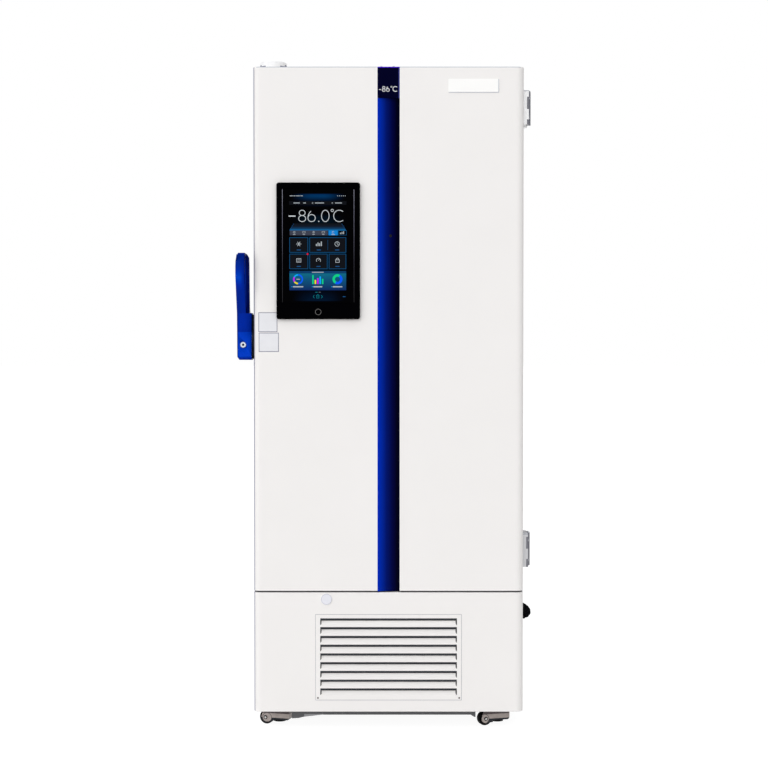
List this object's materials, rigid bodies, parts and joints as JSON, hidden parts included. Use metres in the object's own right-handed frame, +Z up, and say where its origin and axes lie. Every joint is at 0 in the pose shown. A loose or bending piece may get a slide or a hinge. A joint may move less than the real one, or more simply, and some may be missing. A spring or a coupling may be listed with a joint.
{
  "type": "ultra low temperature freezer",
  "caption": "Upright ultra low temperature freezer with a hinged door, lever handle, inner doors, shelves and a machine bay on casters.",
  "frame": {"origin": "on the floor, under the middle of the whole footprint", "axes": "+X to the right of someone facing the door, +Y to the back, +Z up"},
  "size_m": [0.8756, 1.041, 1.965],
  "materials": {
    "white_steel": "satin powder coat",
    "white_plastic": "satin",
    "foam": "rigid foam, as light as fabric",
    "stainless": "brushed",
    "copper_plate": "dull",
    "grey_plastic": "matte",
    "chrome": "polished",
    "hinge_grey": "satin",
    "hinge_white": "satin",
    "grey_steel": "zinc grey",
    "dark_steel": "satin dark grey",
    "fork_steel": "warm grey metallic",
    "black_steel": "satin black",
    "aluminium": "mill finish",
    "black_plastic": "matte",
    "rubber": "matte",
    "gasket_rubber": "matte grey",
    "blue_gloss": "high gloss",
    "navy_gloss": "high gloss",
    "black_gloss": "gloss",
    "screen_glass": "gloss",
    "blue_plastic": "semi gloss",
    "filter_mesh": "woven mesh",
    "black_wheel": "matte",
    "pad_rubber": "matte"
  },
  "bodies": {
    "cabinet": {"side_panel_left": "white_steel", "side_panel_right": "white_steel", "top_panel": "white_steel", "back_panel": "white_steel", "blanking_caps": "white_plastic", "cabinet_insulation": "foam", "inner_liner": "stainless", "evaporator_plates": "copper_plate", "breaker_frame": "grey_plastic", "shelf_rails": "stainless", "shelves": "stainless", "inner_hinge_brackets": "stainless", "lever_keeper": "chrome", "hinge_cabinet_leaves": "hinge_grey", "hinge_pins": "chrome", "base_frame": "grey_steel", "front_apron": "dark_steel", "lower_front_panel": "white_steel", "condenser": "aluminium", "fan_shroud": "black_plastic", "fan_motor": "black_steel", "compressor_high_stage": "black_steel", "compressor_low_stage": "black_steel", "compressor_feet": "rubber", "cascade_exchanger": "stainless", "control_box": "grey_plastic", "rear_service_panel": "white_steel", "power_inlet": "black_plastic", "front_caster_plates": "grey_steel", "rear_caster_frames": "fork_steel", "conduit": "black_plastic"},
    "door": {"door_shell": "white_steel", "door_insulation": "foam", "door_inner_panel": "white_plastic", "door_gasket": "gasket_rubber", "stripe_trim": "blue_gloss", "stripe_header": "navy_gloss", "display_bezel": "black_gloss", "display_glass": "screen_glass", "handle_base": "black_steel", "hinge_door_leaves": "hinge_white"},
    "lever": {"handle_lever": "blue_plastic"},
    "lock": {"lock_plug": "chrome"},
    "button": {"home_button": "black_gloss"},
    "inner_lower": {"inner_door_lower": "white_plastic", "inner_seal_lower": "gasket_rubber"},
    "inner_upper": {"inner_door_upper": "white_plastic", "inner_seal_upper": "gasket_rubber"},
    "grille": {"filter_grille": "white_steel", "air_filter": "filter_mesh"},
    "fan": {"fan_rotor": "black_plastic"},
    "switch": {"power_switch": "black_plastic"},
    "swivel_left": {"caster_fork_left": "fork_steel"},
    "swivel_right": {"caster_fork_right": "fork_steel"},
    "front_wheel_left": {"front_wheel_left": "black_wheel"},
    "front_wheel_right": {"front_wheel_right": "black_wheel"},
    "rear_wheel_left": {"rear_wheel_left": "black_wheel"},
    "rear_wheel_right": {"rear_wheel_right": "black_wheel"},
    "pad_left": {"levelling_pad_left": "pad_rubber"},
    "pad_right": {"levelling_pad_right": "pad_rubber"}
  },
  "joints": [
    {"name": "door_swing", "type": "hinge", "parent": "cabinet", "child": "door", "pos_m": [0.4193, -0.4005, 1.178], "axis": [0, 0, 1], "range_deg": [0, 110]},
    {"name": "inner_lower_swing", "type": "hinge", "parent": "cabinet", "child": "inner_lower", "pos_m": [0.2668, -0.3565, 0.8], "axis": [0, 0, 1], "range_deg": [0, 88]},
    {"name": "inner_upper_swing", "type": "hinge", "parent": "cabinet", "child": "inner_upper", "pos_m": [0.2668, -0.3565, 1.5], "axis": [0, 0, 1], "range_deg": [0, 88]},
    {"name": "lever_turn", "type": "hinge", "parent": "door", "child": "lever", "pos_m": [-0.4052, -0.4305, 1.178], "axis": [1, 0, 0], "range_deg": [0, 70]},
    {"name": "lock_turn", "type": "hinge", "parent": "lever", "child": "lock", "pos_m": [-0.4157, -0.4305, 1.124], "axis": [0, -1, 0], "range_deg": [0, 90]},
    {"name": "button_press", "type": "slide", "parent": "door", "child": "button", "axis": [0, 1, 0], "range_m": [0, 0.0012], "stiffness_N_per_m": 400, "springref_m": -0.0005},
    {"name": "grille_pull", "type": "slide", "parent": "cabinet", "child": "grille", "axis": [0, -1, 0], "range_m": [0, 0.08]},
    {"name": "fan_spin", "type": "hinge", "parent": "cabinet", "child": "fan", "pos_m": [0.0073, -0.2635, 0.22787], "axis": [0, 1, 0], "continuous": true},
    {"name": "switch_rock", "type": "hinge", "parent": "cabinet", "child": "switch", "pos_m": [-0.2172, 0.4915, 0.165], "axis": [1, 0, 0], "range_deg": [-8, 8]},
    {"name": "swivel_left", "type": "hinge", "parent": "cabinet", "child": "swivel_left", "pos_m": [-0.3142, -0.3985, 0.06], "axis": [0, 0, 1], "continuous": true},
    {"name": "front_roll_left", "type": "hinge", "parent": "swivel_left", "child": "front_wheel_left", "pos_m": [-0.35245, -0.38681, 0.021], "axis": [0.2924, 0.9563, 0], "continuous": true},
    {"name": "pad_screw_left", "type": "slide", "parent": "swivel_left", "child": "pad_left", "axis": [0, 0, -1], "range_m": [0, 0.0105]},
    {"name": "rear_roll_left", "type": "hinge", "parent": "cabinet", "child": "rear_wheel_left", "pos_m": [-0.3142, 0.4005, 0.021], "axis": [1, 0, 0], "continuous": true},
    {"name": "swivel_right", "type": "hinge", "parent": "cabinet", "child": "swivel_right", "pos_m": [0.3288, -0.3985, 0.06], "axis": [0, 0, 1], "continuous": true},
    {"name": "front_roll_right", "type": "hinge", "parent": "swivel_right", "child": "front_wheel_right", "pos_m": [0.29055, -0.41019, 0.021], "axis": [-0.2924, 0.9563, 0], "continuous": true},
    {"name": "pad_screw_right", "type": "slide", "parent": "swivel_right", "child": "pad_right", "axis": [0, 0, -1], "range_m": [0, 0.0105]},
    {"name": "rear_roll_right", "type": "hinge", "parent": "cabinet", "child": "rear_wheel_right", "pos_m": [0.3288, 0.4005, 0.021], "axis": [1, 0, 0], "continuous": true}
  ],
  "couplings": [
    {"joint": "inner_lower_swing", "follows": "door_swing", "ratio": 0.8},
    {"joint": "inner_upper_swing", "follows": "door_swing", "ratio": 0.8}
  ]
}
